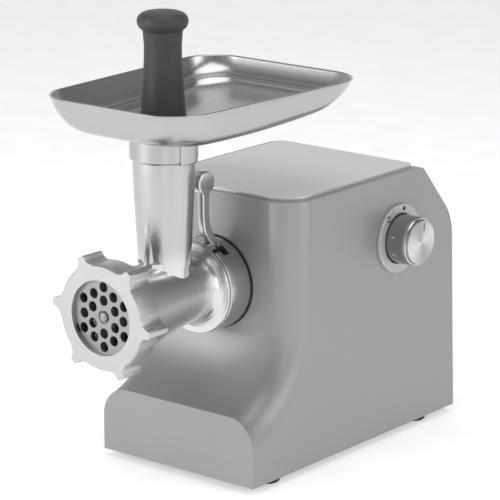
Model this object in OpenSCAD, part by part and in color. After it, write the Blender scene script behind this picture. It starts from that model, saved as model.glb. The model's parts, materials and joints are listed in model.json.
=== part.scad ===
// Electric meat grinder: a soft-edged body on four rubber feet, a mains motor with a three-stage gearbox inside,
// and a grinding head with feed tube, tray and pusher that pulls off the front.
// Frame, in millimetres: X across the body, -Y towards the outlet, Z up from the floor. The barrel's axis lies in
// the plane X = 0, and the front face of the upper body is the plane Y = 0.

/* [Body] */
// Width of the body
body_w = 146; // [140:1:180]
// Height of the body, from its lower edge to its shoulder
body_h = 204.5; // [200:0.5:250]
// Depth of the body, from its upper front face to its lower rear edge
body_d = 210; // [206:1:260]
// How far the foot of the body reaches ahead of its upper front face
plinth_reach = 46; // [30:1:52]
// Height of the front face of the foot of the body
plinth_h = 51; // [40:1:60]
// Radius of the hollow sweep between the foot and the upper front face
sweep_r = 60; // [54:1:70]
// Radius of the round edges that run up the front
edge_r = 23; // [12:1:28]
// Wall of the body shell
wall = 2.8; // [2:0.1:3.5]
// Lean of the rear wall
rear_lean = 2.6; // [0:0.1:4]
// Depth of the flat top, from the upper front face to where the slope begins
top_d = 162; // [150:1:180]
// Angle between the rear slope and a vertical
slope_a = 41; // [30:1:45]
// Radius between the rear wall and the slope
rear_r = 40; // [20:1:50]
// Radius between the slope and the flat top
top_r = 10; // [4:1:14]
// Height of the rubber feet below the body's lower edge
foot_h = 5.5; // [4:0.5:8]
// Radius of a rubber foot
foot_r = 10; // [8:0.5:12]
// Distance from the body's centre plane to a foot's centre
foot_x = 58.5; // [50:0.5:60]
// Place of the front feet behind the upper front face
foot_front_y = -12; // [-25:1:0]
// Place of the rear feet behind the upper front face
foot_rear_y = 174; // [150:1:185]

/* [Top plate] */
// Thickness of the top plate
top_plate_t = 1.7; // [1:0.1:3]
// Distance from the body's side to the top plate's edge
top_plate_inset = 6.5; // [6:0.5:12]
// Corner radius of the top plate at the front
top_plate_r = 25; // [10:1:28]

/* [Outlet] */
// Height of the barrel's axis above the body's lower edge
axis_h = 136; // [130:1:150]
// Outer radius of the outlet collar
collar_r = 35; // [34:0.5:42]
// How far the collar stands out of the body
collar_len = 23.6; // [20:0.2:30]
// Wall of the outlet collar
collar_wall = 4; // [3:0.5:5]
// Width of the black gasket round the collar
gasket_w = 0.6; // [0.5:0.1:2]
// Radius of the lever's round pad
lever_pad_r = 9; // [7:0.5:11]
// Height of the lever's pad above the barrel's axis
lever_h = 80.5; // [70:0.5:90]
// Travel of the lock lever
lever_travel = 20; // [10:1:22]

/* [Grinding head] */
// Radius of the auger's bore
auger_bore_r = 20.5; // [18:0.5:22]
// Outer radius of the barrel at its neck
neck_r = 23.8; // [23:0.1:26]
// Radius of the cutting plate
plate_r = 31; // [28:0.5:36]
// Thickness of the cutting plate
plate_t = 5; // [4:0.5:8]
// Radius of one hole of the cutting plate
plate_hole_r = 3.75; // [2:0.25:4]
// Distance from the upper front face to the front face of the ring nut
nut_face_d = 128.4; // [122:0.2:140]
// Length of the ring nut
nut_len = 20; // [16:0.5:26]
// Radius of the ring nut's opening
nut_opening_r = 27.75; // [20:0.25:29]
// Wall of the ring nut round its thread
nut_wall = 3.4; // [2.5:0.1:6]
// How far a lug stands out of the ring nut
lug_h = 7.3; // [4:0.1:12]
// Distance from the upper front face to the feed tube's axis
tube_d = 58; // [54:1:64]
// Radius of the feed tube's bore
tube_bore_r = 17; // [14:0.5:18]
// Outer radius of the feed tube at its foot
tube_foot_r = 19.3; // [19:0.1:22]
// Outer radius of the feed tube at its top
tube_top_r = 22.6; // [21.5:0.1:26]

/* [Tray and pusher] */
// Height of the tray's rim above the body's lower edge
rim_h = 288; // [280:1:320]
// Depth of the tray
tray_depth = 27.5; // [16:0.5:34]
// Half the tray's width at the front
tray_front_w = 70; // [60:1:80]
// Half the tray's width at the rear
tray_rear_w = 77; // [65:1:90]
// Front edge of the tray ahead of the upper front face
tray_front = 121; // [105:1:130]
// Rear edge of the tray behind the upper front face
tray_rear = 86; // [60:1:110]
// Corner radius of the tray
tray_corner_r = 30; // [15:1:40]
// Thickness of the tray's sheet
tray_t = 1.2; // [0.8:0.1:2]
// Height of the pusher above the tray's floor
pusher_h = 87.5; // [60:0.5:110]
// Length of the pusher's plunger below the tray's floor
plunger_len = 73; // [40:1:90]

/* [Dial] */
// Distance of the dial's centre behind the upper front face
dial_y = 130; // [110:1:150]
// Height of the dial's centre above the body's lower edge
dial_h = 154.5; // [130:0.5:165]
// Outer radius of the dial's bezel
bezel_r = 26.8; // [22:0.1:30]
// Radius of the knob
knob_r = 18.9; // [12:0.1:20]
// How far the knob's face stands out of the body's side
knob_reach = 22.7; // [14:0.1:28]
// Turn of the knob from off to either side
knob_turn = 45; // [30:5:90]

/* [Gearbox] */
// Teeth of the motor pinion
pinion1_z = 10; // [9:1:12]
// Teeth of the first gear
gear1_z = 60; // [48:1:60]
// Module of the first stage
stage1_m = 1; // [0.9:0.05:1]
// Teeth of the second pinion
pinion2_z = 12; // [10:1:14]
// Teeth of the second gear
gear2_z = 48; // [40:1:48]
// Module of the second stage
stage2_m = 1.25; // [1.1:0.05:1.25]
// Teeth of the third pinion
pinion3_z = 13; // [11:1:14]
// Teeth of the output gear
gear3_z = 52; // [48:1:52]
// Module of the third stage
stage3_m = 1.75; // [1.6:0.05:1.75]
// Direction from the output spindle to the second layshaft
layshaft_a = -75; // [-80:1:-70]
// Play between a pair of teeth, along the pitch circle
backlash = 0.16; // [0.08:0.02:0.3]

/* [Motor] */
// Height of the motor's axis above the body's lower edge
motor_h = 62; // [58:0.5:66]
// Radius of the stator
stator_r = 42; // [38:0.5:46]
// Length of the stator and of the armature's core
core_len = 46; // [36:1:56]
// Radius of the armature's core
rotor_r = 23; // [18:0.5:26]
// Air gap between the armature and the stator's poles
air_gap = 0.6; // [0.5:0.1:1]

/* [Clearances] */
// Play of a shaft or a thread that turns in its bore, on the radius
run_gap = 0.06; // [0.02:0.01:0.1]
// Play between faces that part or slide past each other
slide_gap = 0.3; // [0.3:0.05:0.5]

/* [Hidden] */
$fn = 96;

silver = [0.66, 0.66, 0.67];
polished = [0.82, 0.82, 0.83];
dark_grey = [0.28, 0.28, 0.29];
black = [0.08, 0.08, 0.08];
steel = [0.6, 0.6, 0.62];
nylon = [0.9, 0.88, 0.8];
copper = [0.72, 0.42, 0.2];

half_w = body_w / 2;
axis_z = foot_h + axis_h;
shoulder_z = foot_h + body_h;

// --- Body form ---------------------------------------------------------------------------------------------
// Centre height of the hollow sweep, above the body's lower edge
sweep_z = plinth_h + sqrt(pow(sweep_r, 2) - pow(sweep_r - plinth_reach, 2));

// Rear wall and rear slope at height z, moved inwards by t
function rear_y(z, t) = body_d - t / cos(rear_lean) - z * tan(rear_lean);
function slope_y(z, t) = top_d - t / cos(slope_a) + (body_h - z) * tan(slope_a);

// Centre of the round between the rear wall and the slope, and of the one between the slope and the top
rear_c_z = (top_d - body_d + rear_r * (1 / cos(rear_lean) - 1 / cos(slope_a)) + body_h * tan(slope_a))
    / (tan(slope_a) - tan(rear_lean));
rear_c = [rear_y(rear_c_z, rear_r), rear_c_z];
top_c = [slope_y(body_h - top_r, top_r), body_h - top_r];

// Point on a circle, in the plane that the circle is drawn in
function on_circle(c, r, a) = c + r * [cos(a), sin(a)];

// Draws in the Y-Z plane and fills from x0 to x1
module across_x(x0, x1)
    translate([x0, 0, 0]) rotate([90, 0, 90]) linear_extrude(x1 - x0) children();

// Draws in the X-Z plane, seen from the front, and fills from y0 back to y1
module along_y(y0, y1)
    translate([0, y1, 0]) rotate([90, 0, 0]) linear_extrude(y1 - y0) children();

// A turned piece on a shaft along Y at c = [x, z]; its outline is drawn as [radius, y]
module turned(c, points)
    translate([c[0], 0, c[1]]) rotate([-90, 0, 0]) rotate_extrude() polygon(points);

// A round bar along Y
module rod(c, r, y0, y1)
    translate([c[0], y1, c[1]]) rotate([90, 0, 0]) cylinder(r = r, h = y1 - y0);

// A round tube along Y
module pipe(c, r_out, r_in, y0, y1)
    turned(c, [[r_in, y0], [r_out, y0], [r_out, y1], [r_in, y1]]);

// A rectangle with round corners, centred
module round_rect(w, h, r)
    union() {
        square([w - 2 * r, h], center = true);
        square([w, h - 2 * r], center = true);
        for (x = [-1, 1]) for (y = [-1, 1])
            translate([x * (w / 2 - r), y * (h / 2 - r)]) circle(r);
    }

// The body's side outline, moved inwards by t and cut back along the sweep to the radius arc
module side_shape(t, z0, arc)
    difference() {
        union() {
            polygon([
                [t - plinth_reach, z0], [rear_y(z0, t), z0],
                on_circle(rear_c, rear_r - t, rear_lean), on_circle(rear_c, rear_r - t, slope_a),
                on_circle(top_c, top_r - t, slope_a), on_circle(top_c, top_r - t, 90),
                [arc - sweep_r, body_h - t], [arc - sweep_r, sweep_z], [t - plinth_reach, sweep_z]
            ]);
            translate(rear_c) circle(rear_r - t);
            translate(top_c) circle(top_r - t);
        }
        translate([-sweep_r, sweep_z]) circle(arc);
    }

// The whole body form, moved inwards by t, from the height z0 up
module body_form(t, z0) {
    across_x(edge_r - half_w, half_w - edge_r) side_shape(t, z0, sweep_r + t);
    across_x(t - half_w, half_w - t) side_shape(t, z0, sweep_r + edge_r);
    for (side = [-1, 1]) {
        translate([side * (half_w - edge_r), edge_r, sweep_z])
            cylinder(r = edge_r - t, h = body_h - t - sweep_z);
        intersection() {
            translate([side * (half_w - edge_r), -sweep_r, sweep_z])
                rotate([0, 90, 0]) rotate_extrude(angle = 90) translate([sweep_r + edge_r, 0]) circle(edge_r - t);
            translate([-half_w, t - plinth_reach, 0]) cube([body_w, plinth_reach + 2 * edge_r, sweep_z]);
        }
    }
}

// --- Housing and covers ------------------------------------------------------------------------------------
base_recess = 0.6;
base_t = 3;
base_top_z = foot_h + base_recess + base_t;
post_r = 4.5;
post_h = 22;
post_x = half_w - wall - 3.5;
post_ys = [10 - plinth_reach, body_d - 18];
screw_r = 1.5;

// The rear cover sits in a rebate of the leaning rear wall, between these heights along the wall
cover_low = 26;
cover_high = 134;
cover_w = 108;
cover_corner = 8;
cover_t = 1.6;
cover_lip = 6;
cover_mid = (cover_low + cover_high) / 2;
cover_screw_x = cover_w / 2 - 3.2;
cover_screw_dz = (cover_high - cover_low) / 2 - 7;
inlet_r = 7;
inlet_x = -34;
inlet_h = 46;

// Puts things on the leaning rear wall: x across, y out of the wall, z up along it
module on_rear() translate([0, body_d, foot_h]) rotate([rear_lean, 0, 0]) children();
module each_cover_screw()
    for (x = [-1, 1]) for (z = [-1, 1]) on_rear()
        translate([x * cover_screw_x, 0, cover_mid + z * cover_screw_dz]) rotate([90, 0, 0]) children();
module each_post() for (x = [-1, 1]) for (y = post_ys) translate([x * post_x, y, 0]) children();
module each_foot()
    for (x = [-1, 1]) for (y = [foot_front_y, foot_rear_y]) translate([x * foot_x, y, 0]) children();

spindle_hole_r = 5.6;
dial_z = foot_h + dial_h;
spigot_r = collar_r - 2.3;

// Opening of the shell under the top plate
hatch_margin = 14;
hatch_front = 14;
hatch_w = body_w - 2 * top_plate_inset - 2 * hatch_margin;
hatch_l = top_d - top_r - hatch_front - 20;
hatch_mid_y = hatch_front + hatch_l / 2;

board_y = [80, 160];
board_z = [foot_h + 112, foot_h + 180];
board_t = 1.6;
board_gap = 7;
board_x = wall + board_gap - half_w;
boss_r = 3.5;
module each_board_screw()
    for (y = board_y) for (z = board_z)
        translate([0, y + (y < 100 ? 5 : -5), z + (z < foot_h + 150 ? 5 : -5)]) rotate([0, 90, 0]) children();

module housing()
    color(silver) difference() {
        union() {
            difference() {
                translate([0, 0, foot_h]) body_form(0, 0);
                translate([0, 0, foot_h]) body_form(wall, -1);
            }
            each_post() translate([0, 0, base_top_z]) cylinder(r = post_r, h = post_h);
            each_cover_screw() translate([0, 0, cover_t]) cylinder(r = 3.2, h = 9);
            translate([wall / 2 - half_w, 0, 0]) each_board_screw() cylinder(r = boss_r, h = board_gap + wall / 2);
        }
        // seat of the collar and its gasket, and holes for the collar's spigot and the switch spindle
        rod([0, axis_z], collar_r + gasket_w, -plinth_reach, 0);
        rod([0, axis_z], spigot_r, -1, wall + 1);
        translate([half_w - wall - 1, dial_y, dial_z]) rotate([0, 90, 0]) cylinder(r = spindle_hole_r, h = wall + 2);
        // opening under the top plate
        translate([0, hatch_mid_y, shoulder_z - wall - 1]) linear_extrude(wall + 2) round_rect(hatch_w, hatch_l, 8);
        // rebate and opening of the rear cover
        on_rear() translate([0, 1, cover_mid]) rotate([90, 0, 0]) {
            linear_extrude(1 + cover_t)
                round_rect(cover_w + 2 * slide_gap, cover_high - cover_low + 2 * slide_gap, cover_corner);
            linear_extrude(wall + 6) difference() {
                round_rect(cover_w - 2 * cover_lip, cover_high - cover_low - 2 * cover_lip, cover_corner);
                for (x = [-1, 1]) for (z = [-1, 1])
                    translate([x * cover_screw_x, z * cover_screw_dz]) circle(3.2);
            }
        }
        each_cover_screw() translate([0, 0, -1]) cylinder(r = screw_r, h = 11);
        each_post() translate([0, 0, base_top_z - 1]) cylinder(r = screw_r, h = post_h - 4);
        translate([-half_w + wall + 0.4, 0, 0]) each_board_screw() cylinder(r = 1.2, h = board_gap + 1);
    }

// A plate with large corners at the front and smaller ones at the rear
module top_plate_shape() {
    w = half_w - top_plate_inset;
    rear_corner = 8;
    front = top_plate_inset - 1;
    rear = top_d - 1;
    difference() {
        union() {
            translate([-w, front + top_plate_r]) square([2 * w, rear - rear_corner - front - top_plate_r]);
            translate([top_plate_r - w, front]) square([2 * (w - top_plate_r), rear - front]);
            for (x = [-1, 1]) {
                translate([x * (w - top_plate_r), front + top_plate_r]) circle(top_plate_r);
                translate([x * (w - rear_corner), rear - rear_corner]) circle(rear_corner);
                translate([x * (w - top_plate_r / 2 - rear_corner) - 13, rear - rear_corner - 1])
                    square([26, rear_corner + 1]);
            }
        }
    }
}

module top_plate()
    color([0.78, 0.78, 0.79]) {
        translate([0, 0, shoulder_z]) linear_extrude(top_plate_t) top_plate_shape();
        translate([0, hatch_mid_y, shoulder_z - 2])
            linear_extrude(2.5) round_rect(hatch_w - 2 * slide_gap, hatch_l - 2 * slide_gap, 8 - slide_gap);
    }

vent_w = 3;
vent_h = 30;
vent_pitch = 7;
vents = 11;

module rear_cover()
    color(silver) difference() {
        on_rear() translate([0, 0, cover_mid]) rotate([90, 0, 0])
            linear_extrude(cover_t) round_rect(cover_w, cover_high - cover_low, cover_corner);
        for (i = [0:vents - 1]) for (row = [0, 1])
            on_rear() translate([(i - (vents - 1) / 2) * vent_pitch - vent_w / 2, -cover_t - 1,
                cover_mid - 10 + row * (vent_h + 6) - vent_h / 2 + 6])
                cube([vent_w, cover_t + 2, vent_h]);
        on_rear() translate([inlet_x, 1, inlet_h]) rotate([90, 0, 0]) cylinder(r = inlet_r, h = cover_t + 2);
        each_cover_screw() translate([0, 0, -1]) cylinder(r = screw_r, h = cover_t + 2);
    }

module cord_inlet()
    color(black) on_rear() translate([inlet_x, 0, inlet_h]) rotate([90, 0, 0]) difference() {
        union() {
            translate([0, 0, -3]) cylinder(r = inlet_r + 1.8, h = 3);
            cylinder(r = inlet_r, h = cover_t);
            translate([0, 0, cover_t]) cylinder(r = inlet_r + 1.2, h = 6);
        }
        translate([0, 0, -4]) cylinder(r = 3.7, h = cover_t + 14);
    }

module cover_screws()
    color(steel) each_cover_screw() {
        translate([0, 0, -1.4]) cylinder(r = 2.8, h = 1.4);
        cylinder(r = screw_r, h = 9);
    }

module base_plate() {
    edge = wall + slide_gap;
    color(dark_grey) difference() {
        translate([edge - half_w, edge - plinth_reach, foot_h + base_recess])
            cube([body_w - 2 * edge, body_d + plinth_reach - 2 * edge - 1, base_t]);
        each_foot() translate([0, 0, foot_h]) cylinder(r = screw_r + 0.4, h = base_t + 2);
        each_post() translate([0, 0, foot_h]) cylinder(r = screw_r, h = base_t + 2);
        for (i = [0:9]) translate([-32, 78 + i * 8, foot_h]) cube([64, 3.2, base_t + 2]);
    }
}

module base_screws()
    color(steel) each_post() {
        translate([0, 0, foot_h - 1.2]) cylinder(r = 2.8, h = 1.2 + base_recess);
        translate([0, 0, foot_h + base_recess]) cylinder(r = screw_r, h = base_t + 12);
    }

module feet()
    color(black) each_foot() difference() {
        union() {
            cylinder(r1 = foot_r - 1, r2 = foot_r, h = 1);
            translate([0, 0, 1]) cylinder(r = foot_r, h = foot_h + base_recess - 1);
        }
        translate([0, 0, -1]) cylinder(r = 4.2, h = 3.5);
        cylinder(r = screw_r + 0.4, h = foot_h + 2);
    }

module foot_screws()
    color(steel) each_foot() {
        translate([0, 0, 1]) cylinder(r = 3.6, h = 1.5);
        translate([0, 0, 2.5]) cylinder(r = screw_r + 0.4, h = foot_h + base_recess + base_t - 2.5);
    }

// --- Outlet collar and lock lever --------------------------------------------------------------------------
o_axis = [0, axis_z];
collar_in_r = collar_r - collar_wall;
collar_back = 3;
case_y = 8;
ring_gap_r = slide_gap;
head_spigot_r = collar_in_r - 3.8;
window_from = 4;
window_to = 40;
window_y = [-17.6, -10.2];
ring_y = [window_y[0] + 0.4, window_y[1] - 0.4];
lever_x = [4.2, 10];

// A wedge seen from the front, between two angles from the top towards +X
module wedge(r, a0, a1)
    polygon(concat([[0, 0]], [for (i = [0:6]) let (a = a0 + (a1 - a0) * i / 6) r * [sin(a), cos(a)]]));

spindle_r = 11;
collar_hole_r = spindle_r + 5;
outlet_screw_circle = 24;
module each_outlet_screw()
    for (a = [30, 150, 270]) translate([outlet_screw_circle * cos(a), 0, axis_z + outlet_screw_circle * sin(a)])
        children();

module outlet_collar()
    color(silver) difference() {
        union() {
            turned(o_axis, [[collar_in_r, -collar_len], [collar_r - 0.6, -collar_len], [collar_r, 0.6 - collar_len],
                [collar_r, 0], [spigot_r, 0], [spigot_r, case_y], [spigot_r - 3, case_y], [spigot_r - 3, 0],
                [collar_hole_r, 0], [collar_hole_r, -collar_back], [collar_in_r, -collar_back]]);
        }
        translate([0, 0, axis_z]) along_y(window_y[0], window_y[1]) wedge(collar_r + 5, window_from, window_to);
        translate([0, 0, axis_z]) along_y(-collar_len - 1, window_y[0] + 1) wedge(collar_r + 5, 27, 33);
        each_outlet_screw() rotate([90, 0, 0]) cylinder(r = screw_r, h = 4 * collar_back, center = true);
    }

module collar_gasket()
    color(black) pipe(o_axis, collar_r + gasket_w, collar_r, -0.9, 0);

module outlet_screws()
    color(steel) each_outlet_screw() {
        rod([0, 0], screw_r, -collar_back, case_y + 5);
        rod([0, 0], 2.8, case_y + 5, case_y + 7);
    }

// Lever: an inner ring round the head's spigot, and a curved arm with a round pad
lever_pad = [-22, axis_z + lever_h];
lever_neck_w = 7.4;
module lever_shape() {
    root = [(ring_y[0] + ring_y[1]) / 2, axis_z + collar_in_r - 1];
    bend = [lever_pad[0] - 0.4, axis_z + collar_r + 16];
    knee = [lever_pad[0] + 4.5, axis_z + collar_r + 4.2];
    half = lever_neck_w / 2;
    translate(lever_pad) circle(lever_pad_r);
    polygon([
        [lever_pad[0] - lever_pad_r * 0.82, lever_pad[1] - 5], [bend[0] - half, lever_pad[1] - 18],
        [bend[0] - half, bend[1]], [knee[0] - half, knee[1] - 1], [ring_y[0] + 0.3, axis_z + collar_r + 0.5],
        [ring_y[0] + 0.3, root[1]], [ring_y[1], root[1]],
        [ring_y[1], axis_z + collar_r + 0.5], [knee[0] + half, knee[1] + 1],
        [bend[0] + half, bend[1] + 2], [bend[0] + half, lever_pad[1] - 18],
        [lever_pad[0] + lever_pad_r * 0.82, lever_pad[1] - 5]
    ]);
}

module lock_lever()
    color(polished) {
        pipe(o_axis, collar_in_r - ring_gap_r, head_spigot_r + slide_gap, ring_y[0], ring_y[1]);
        across_x(lever_x[0], lever_x[1]) lever_shape();
        // the pad is thicker than the arm
        translate([lever_x[0] - 2.5, lever_pad[0], lever_pad[1]]) rotate([0, 90, 0])
            cylinder(r = lever_pad_r, h = lever_x[1] - lever_x[0] + 3);
    }

// --- Dial --------------------------------------------------------------------------------------------------
knob_face_x = half_w + knob_reach;
bezel_t = 2.8;
bezel_in_r = knob_r + 0.9;
seal_t = 0.8;
knob_root_x = half_w + seal_t + 0.5;
knob_ring_x = knob_face_x - 5;
knob_disc_r = knob_r - 1.8;
disc_groove = 0.4;
switch_spindle_r = 3;

// Turned pieces on the dial's axis; the outline is drawn as [radius, x]
module on_dial(points)
    translate([0, dial_y, dial_z]) rotate([90, 0, 90]) rotate_extrude() polygon(points);

module dial_bezel()
    color(polished) on_dial([[bezel_in_r, half_w], [bezel_r, half_w], [bezel_r, half_w + bezel_t - 0.4],
        [bezel_r - 0.4, half_w + bezel_t], [bezel_in_r, half_w + bezel_t]]);

module dial_seal()
    color(black) on_dial([[spindle_hole_r, half_w], [bezel_in_r, half_w], [bezel_in_r, half_w + seal_t],
        [spindle_hole_r, half_w + seal_t]]);

module knob_body()
    color([0.38, 0.38, 0.39]) on_dial([[switch_spindle_r, knob_root_x], [knob_r - 0.7, knob_root_x],
        [knob_r - 0.7, knob_root_x + 2.4], [knob_r, knob_root_x + 2.8], [knob_r, knob_ring_x],
        [switch_spindle_r, knob_ring_x]]);

module knob_ring()
    color(polished) on_dial([[knob_disc_r + disc_groove, knob_ring_x], [knob_r - 0.3, knob_ring_x],
        [knob_r - 0.3, knob_face_x - 2.9], [knob_r - 0.7, knob_face_x - 2.2],
        [knob_disc_r + disc_groove, knob_face_x - 2.2]]);

module knob_disc()
    color(polished) on_dial([[0, knob_ring_x], [knob_disc_r, knob_ring_x], [knob_disc_r, knob_face_x - 0.5],
        [knob_disc_r - 0.5, knob_face_x], [0, knob_face_x]]);

module switch_spindle()
    color(steel) on_dial([[0, half_w - 22], [switch_spindle_r, half_w - 22], [switch_spindle_r, knob_ring_x],
        [0, knob_ring_x]]);

switch_w = 30;
module rotary_switch()
    color(dark_grey) difference() {
        union() {
            translate([half_w - wall - 24, dial_y - switch_w / 2, dial_z - switch_w / 2])
                cube([24, switch_w, switch_w]);
            on_dial([[0, half_w - wall - 1], [spindle_hole_r, half_w - wall - 1], [spindle_hole_r, half_w],
                [0, half_w]]);
            for (z = [-1, 1]) translate([half_w - wall - 30, dial_y - 3, dial_z + z * 9]) cube([7, 6, 0.8]);
        }
        on_dial([[0, half_w - 22 - slide_gap], [switch_spindle_r + run_gap, half_w - 22 - slide_gap],
            [switch_spindle_r + run_gap, half_w + 1], [0, half_w + 1]]);
    }

module control_board()
    color([0.1, 0.35, 0.2]) difference() {
        translate([board_x, board_y[0], board_z[0]])
            cube([board_t, board_y[1] - board_y[0], board_z[1] - board_z[0]]);
        translate([board_x - 1, 0, 0]) each_board_screw() cylinder(r = 1.2, h = board_t + 2);
    }

module board_parts()
    translate([board_x + board_t, 0, 0]) {
        color(steel) difference() {
            translate([0, board_y[0] + 14, board_z[0] + 34]) cube([16, 34, 24]);
            for (i = [0:3]) translate([4, board_y[0] + 18 + i * 7.5, board_z[0] + 33]) cube([13, 4, 26]);
        }
        color(copper) translate([0, board_y[0] + 62, board_z[0] + 44]) rotate([0, 90, 0]) cylinder(r = 8, h = 20);
        color(black) translate([0, board_y[0] + 46, board_z[0] + 10]) cube([15, 22, 16]);
        color(steel) each_board_screw() cylinder(r = 2.4, h = 1.2);
    }

// --- Gearbox -----------------------------------------------------------------------------------------------
pressure_a = 25;
addendum = 0.8;
dedendum = 1;

function involute(a) = tan(a) * 180 / PI - a;
// Half the angle that a tooth takes up at radius r
function half_tooth(z, m, r) = let (pr = z * m / 2, base = pr * cos(pressure_a))
    90 / z - backlash / 2 / pr * 90 / PI + involute(pressure_a) - (r > base ? involute(acos(base / r)) : 0);
function tooth_radii(z, m) = let (pr = z * m / 2, base = pr * cos(pressure_a), root = pr - dedendum * m)
    base > root + 0.05 ? [root, base, (base + pr) / 2, pr, pr + addendum * m] : [root, pr, pr + addendum * m];
function reversed(v) = [for (i = [len(v) - 1:-1:0]) v[i]];
function gear_points(z, m) = let (radii = tooth_radii(z, m)) [
    for (i = [0:z - 1]) each concat(
        [for (r = radii) on_circle([0, 0], r, i * 360 / z - half_tooth(z, m, r))],
        [for (r = reversed(radii)) on_circle([0, 0], r, i * 360 / z + half_tooth(z, m, r))])
];
function distance(za, zb, m) = (za + zb) * m / 2;
function direction(a, b) = atan2(b[1] - a[1], b[0] - a[0]);

// Shaft centres as [x, z]: the output spindle, layshaft B, the motor, and layshaft A where both its meshes fit
b_axis = on_circle(o_axis, distance(pinion3_z, gear3_z, stage3_m), layshaft_a);
m_axis = [0, foot_h + motor_h];
ab = distance(pinion2_z, gear2_z, stage2_m);
am = distance(pinion1_z, gear1_z, stage1_m);
bm = norm(m_axis - b_axis);
a_turn = acos((ab * ab + bm * bm - am * am) / (2 * ab * bm));
a_axis = on_circle(b_axis, ab, direction(b_axis, m_axis) - a_turn);

// Depths of the gear case and its stages
case_plate = 5;
cover_y = 58;
cover_plate = 5;
stage3_y = [18, 32];
stage2_y = [36, 46];
stage1_y = [49, 56];
case_wall = 2.5;
tip3_r = gear3_z * stage3_m / 2 + addendum * stage3_m;
case_half = tip3_r + 7.5 + case_wall;
case_top = axis_z + tip3_r + 2.6 + case_wall;
case_low = m_axis[1] - 18;
a_shaft_r = 3.5;
b_shaft_r = 5;
rear_journal_r = 6;
bush_wall = 2.5;
bearing_r = 11;
motor_shaft_r = 4;

// A gear wheel between two depths, turned by phase; a web thins it when it is large
module wheel(c, z, m, phase, y, bore, webbed = false)
    difference() {
        translate([c[0], 0, c[1]]) along_y(y[0], y[1]) rotate(phase) difference() {
            polygon(gear_points(z, m));
            circle(bore);
        }
        if (webbed) for (face = [[y[0] - 1, y[0] + 2.5], [y[1] - 2.5, y[1] + 1]])
            pipe(c, z * m / 2 - dedendum * m - 4, bore + 5, face[0], face[1]);
    }

// A tooth of one gear stands on the line of centres, and a gap of its mate
function gap_phase(from, to, z) = direction(from, to) + 180 / z;

case_screws_at = [for (x = [-1, 1]) for (z = [case_low + 6, axis_z - 20, case_top - 6])
    [x * (case_half - 5), z]];

module gear_case()
    color([0.7, 0.7, 0.71]) difference() {
        union() {
            along_y(case_y, cover_y) difference() {
                translate([-case_half, case_low]) square([2 * case_half, case_top - case_low]);
                translate([case_wall - case_half, case_low + case_wall])
                    square([2 * (case_half - case_wall), case_top - case_low - 2 * case_wall]);
            }
            along_y(case_y, case_y + case_plate)
                translate([1 - case_half, case_low + 1]) square([2 * case_half - 2, case_top - case_low - 2]);
            intersection() {
                for (p = case_screws_at) rod(p, 4, case_y + 1, cover_y);
                along_y(case_y, cover_y)
                    translate([-case_half, case_low]) square([2 * case_half, case_top - case_low]);
            }
            rod(o_axis, spindle_r + 6, case_y + 1, stage3_y[0] - 1);
        }
        rod(o_axis, spindle_r + run_gap + bush_wall, case_y - 1, stage3_y[0]);
        rod(a_axis, a_shaft_r + run_gap + bush_wall, case_y - 1, case_y + case_plate + 1);
        rod(b_axis, b_shaft_r + run_gap + bush_wall, case_y - 1, case_y + case_plate + 1);
        each_outlet_screw() rod([0, 0], screw_r, case_y - 1, case_y + case_plate + 1);
        for (p = case_screws_at) rod(p, screw_r, cover_y - 12, cover_y + 1);
    }

module gear_cover()
    color([0.7, 0.7, 0.71]) difference() {
        union() {
            along_y(cover_y, cover_y + cover_plate)
                translate([-case_half, case_low]) square([2 * case_half, case_top - case_low]);
            for (side = [-1, 1]) rod([side * motor_screw_x, m_axis[1]], 5, cover_y + 1, cover_y + cover_plate + 6);
        }
        rod(o_axis, rear_journal_r + run_gap + bush_wall, cover_y - 1, cover_y + cover_plate + 1);
        rod(a_axis, a_shaft_r + run_gap + bush_wall, cover_y - 1, cover_y + cover_plate + 1);
        rod(b_axis, b_shaft_r + run_gap + bush_wall, cover_y - 1, cover_y + cover_plate + 1);
        rod(m_axis, bearing_r, cover_y - 1, cover_y + cover_plate + 1);
        for (p = case_screws_at) rod(p, screw_r, cover_y - 1, cover_y + cover_plate + 1);
        for (side = [-1, 1]) rod([side * motor_screw_x, m_axis[1]], motor_screw_r, cover_y - 1, cover_y + 20);
    }

module case_screws()
    color(steel) for (p = case_screws_at) {
        rod(p, screw_r, cover_y - 11, cover_y + cover_plate);
        rod(p, 2.8, cover_y + cover_plate, cover_y + cover_plate + 2);
    }

module spindle_bushes()
    color([0.75, 0.6, 0.3]) {
        pipe(o_axis, spindle_r + run_gap + bush_wall, spindle_r + run_gap, case_y, stage3_y[0] - 1);
        pipe(o_axis, rear_journal_r + run_gap + bush_wall, rear_journal_r + run_gap, cover_y, cover_y + cover_plate);
    }

module layshaft_bushes()
    color([0.75, 0.6, 0.3])
        for (y = [case_y, cover_y]) {
            pipe(a_axis, a_shaft_r + run_gap + bush_wall, a_shaft_r + run_gap, y, y + case_plate);
            pipe(b_axis, b_shaft_r + run_gap + bush_wall, b_shaft_r + run_gap, y, y + case_plate);
        }

drive_square = 13;
gear_seat_r = 9;
module output_spindle()
    color(steel) difference() {
        turned(o_axis, [[0, -1], [spindle_r, -1], [spindle_r, stage3_y[0]], [gear_seat_r, stage3_y[0]],
            [gear_seat_r, stage3_y[1]], [rear_journal_r, stage3_y[1]], [rear_journal_r, cover_y + cover_plate],
            [0, cover_y + cover_plate]]);
        translate([-drive_square / 2, -2, axis_z - drive_square / 2]) cube([drive_square, 16, drive_square]);
    }

module output_gear()
    color(steel) wheel(o_axis, gear3_z, stage3_m, direction(o_axis, b_axis), stage3_y, gear_seat_r, true);

module layshaft_b()
    color(steel) rod(b_axis, b_shaft_r, case_y + 0.5, cover_y + cover_plate - 0.5);

module third_pinion()
    color(steel) wheel(b_axis, pinion3_z, stage3_m, gap_phase(b_axis, o_axis, pinion3_z),
        [stage3_y[0] - 1, stage3_y[1] + 1], b_shaft_r);

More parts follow.
